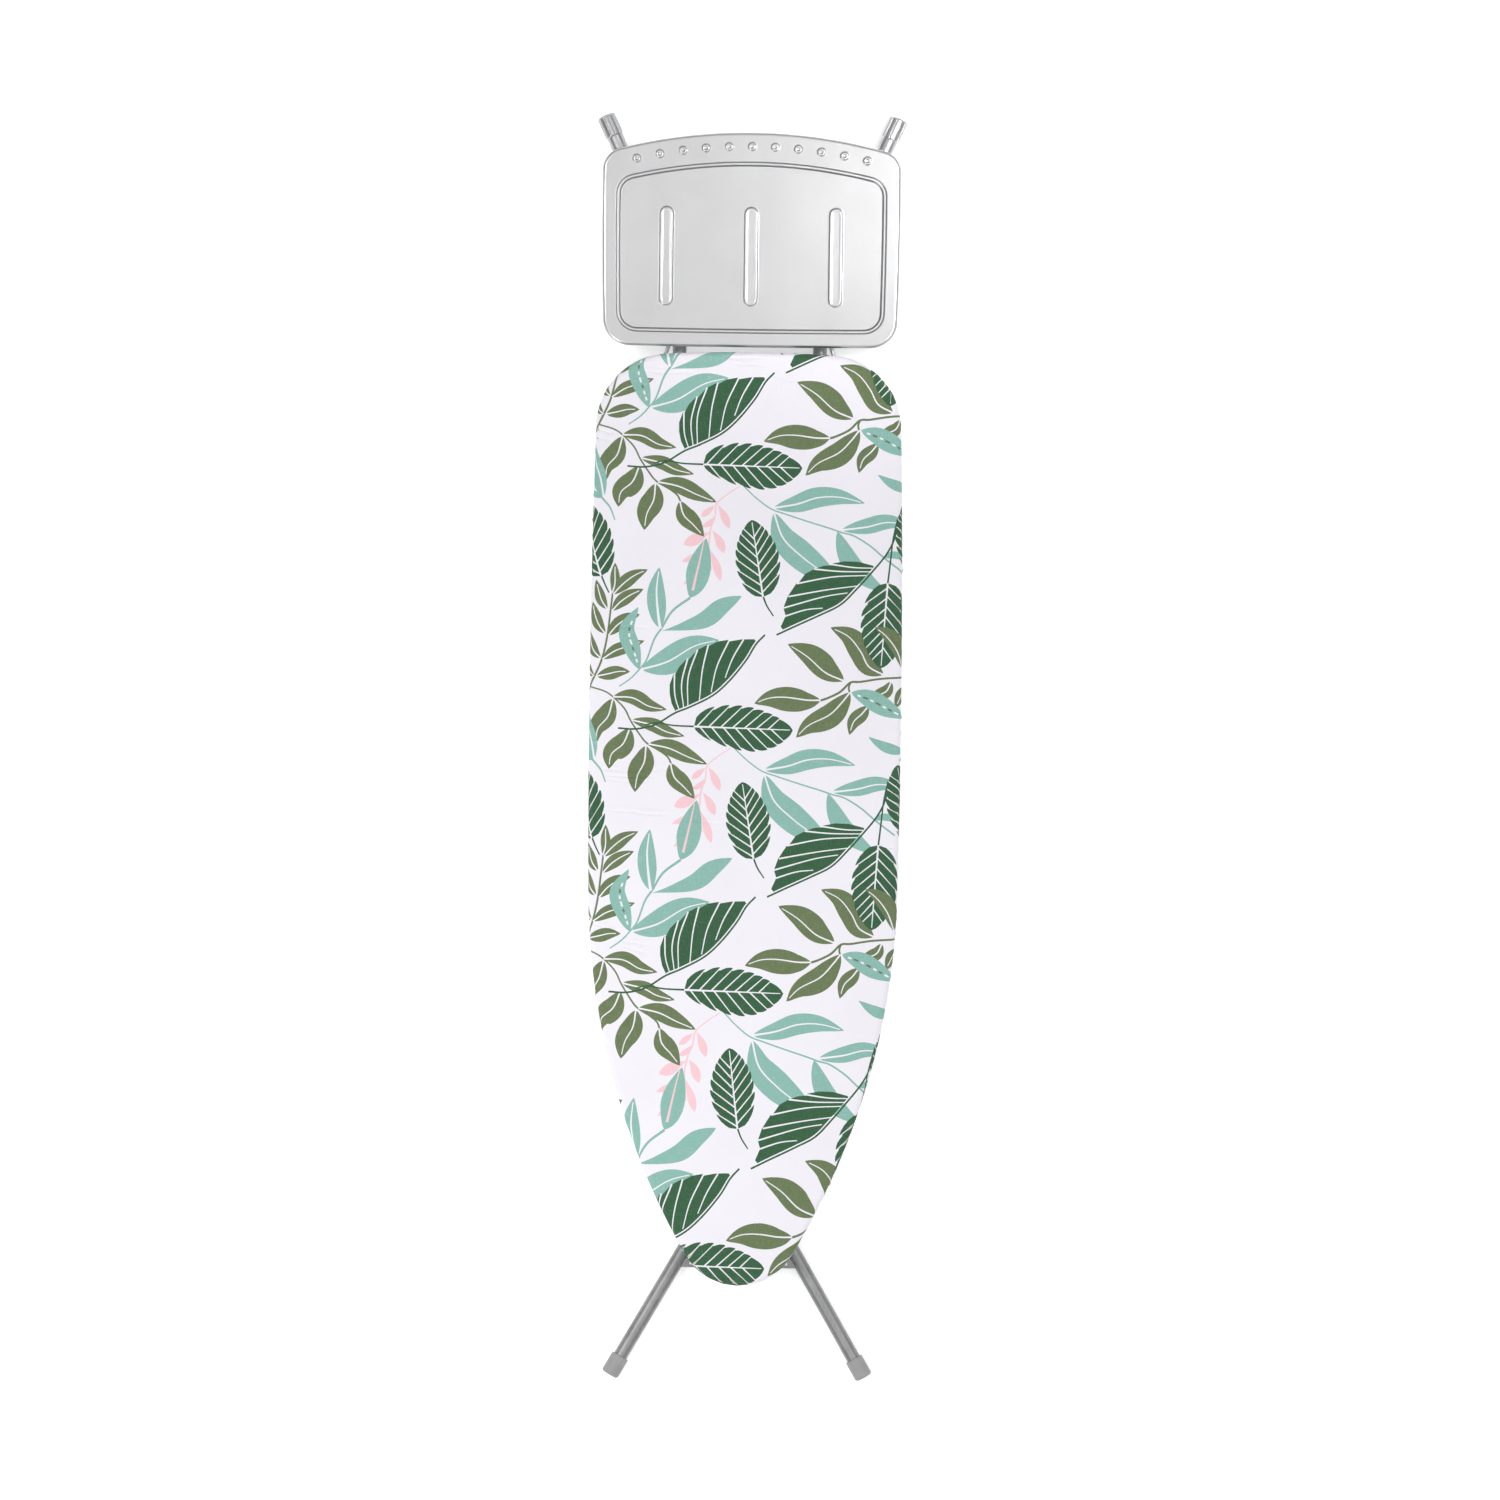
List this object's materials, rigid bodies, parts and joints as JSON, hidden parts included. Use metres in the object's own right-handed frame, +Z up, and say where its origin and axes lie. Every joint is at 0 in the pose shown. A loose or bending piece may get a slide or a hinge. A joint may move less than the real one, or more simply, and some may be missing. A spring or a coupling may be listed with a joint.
{
  "type": "folding ironing board",
  "caption": "Folding ironing board stored flat: padded deck with a leaf-print cotton cover, pressed-steel iron rest and a splayed tube X-frame with a sprung height latch.",
  "frame": {"origin": "bottom centre of the folded board, on the surface that its four feet lie on", "axes": "+Y along the board from the nose to the iron rest, +Z up out of the ironing surface, +X across"},
  "size_m": [0.381, 1.55, 0.065],
  "materials": {
    "cover_cotton": "printed cotton, leaf print on white",
    "hem_cotton": "plain cotton binding",
    "elastic": "woven elastic",
    "felt": "needled felt",
    "deck_paint": "silver-grey powder coat",
    "tray_steel": "pressed zinc-plated sheet",
    "zinc_wire": "zinc-plated wire",
    "leg_steel": "satin zinc-plated tube",
    "zinc_sheet": "zinc-plated sheet",
    "pin_steel": "bright zinc-plated steel",
    "foot_plastic": "moulded grey plastic",
    "foot_silver": "moulded silver-grey plastic, fluted",
    "nylon": "natural nylon",
    "lever_paint": "dark grey paint",
    "grip_plastic": "dark grey moulded plastic"
  },
  "bodies": {
    "deck": {"deck_rim": "deck_paint", "deck_mesh": "deck_paint", "nose_brace": "deck_paint", "hinge_brace": "deck_paint", "centre_brace": "deck_paint", "middle_brace": "deck_paint", "rear_brace": "deck_paint", "felt_pad": "felt", "cotton_cover": "cover_cotton", "hem_casing_nose": "hem_cotton", "hem_casing_rear": "hem_cotton", "hem_casing_left": "hem_cotton", "hem_casing_right": "hem_cotton", "hem_elastic": "elastic", "hinge_bracket_left": "zinc_sheet", "hinge_bracket_right": "zinc_sheet", "hinge_pins": "pin_steel", "bracket_rivets": "pin_steel", "guide_rail_left": "zinc_sheet", "guide_rail_right": "zinc_sheet", "height_rack": "zinc_sheet", "rail_rivets": "pin_steel", "iron_rest_tray": "tray_steel", "rest_wire_left": "zinc_wire", "rest_wire_right": "zinc_wire", "rest_cross_wire_front": "zinc_wire", "rest_cross_wire_far": "zinc_wire", "tray_clips": "zinc_sheet"},
    "outer_frame": {"outer_leg_left": "leg_steel", "outer_leg_right": "leg_steel", "outer_leg_cross_bar": "leg_steel", "outer_foot_left": "foot_silver", "outer_foot_right": "foot_silver", "hinge_bushes": "nylon"},
    "inner_frame": {"inner_leg_left": "leg_steel", "inner_leg_right": "leg_steel", "inner_leg_nose_bar": "leg_steel", "inner_leg_upper_bar": "leg_steel", "inner_leg_lower_bar": "leg_steel", "inner_foot_left": "foot_plastic", "inner_foot_right": "foot_plastic", "top_rod": "pin_steel", "rod_glides": "nylon", "rod_retainers": "pin_steel", "crossing_pins": "pin_steel", "crossing_spacers": "nylon"},
    "carriage": {"latch_carriage": "zinc_sheet", "guide_pins": "pin_steel", "lever_pin": "pin_steel", "lever_spring": "pin_steel"},
    "lever": {"release_lever": "lever_paint", "lever_grip": "grip_plastic"}
  },
  "joints": [
    {"name": "fold", "type": "hinge", "parent": "deck", "child": "outer_frame", "pos_m": [0, -0.43, 0.011], "axis": [-1, 0, 0], "range_deg": [0, 46]},
    {"name": "crossing", "type": "hinge", "parent": "outer_frame", "child": "inner_frame", "pos_m": [0, 0, 0.011], "axis": [1, 0, 0], "range_deg": [0, 92]},
    {"name": "carriage_tilt", "type": "hinge", "parent": "inner_frame", "child": "carriage", "pos_m": [0, 0.43, 0.011], "axis": [-1, 0, 0], "range_deg": [0, 46]},
    {"name": "latch_lever", "type": "hinge", "parent": "carriage", "child": "lever", "pos_m": [0, 0.378, 0.011], "axis": [-1, 0, 0], "range_deg": [-4.5, 2], "stiffness_Nm_per_rad": 0.5, "springref_deg": -4.5}
  ],
  "couplings": [
    {"joint": "crossing", "follows": "fold", "ratio": 2},
    {"joint": "carriage_tilt", "follows": "fold", "ratio": 1}
  ]
}
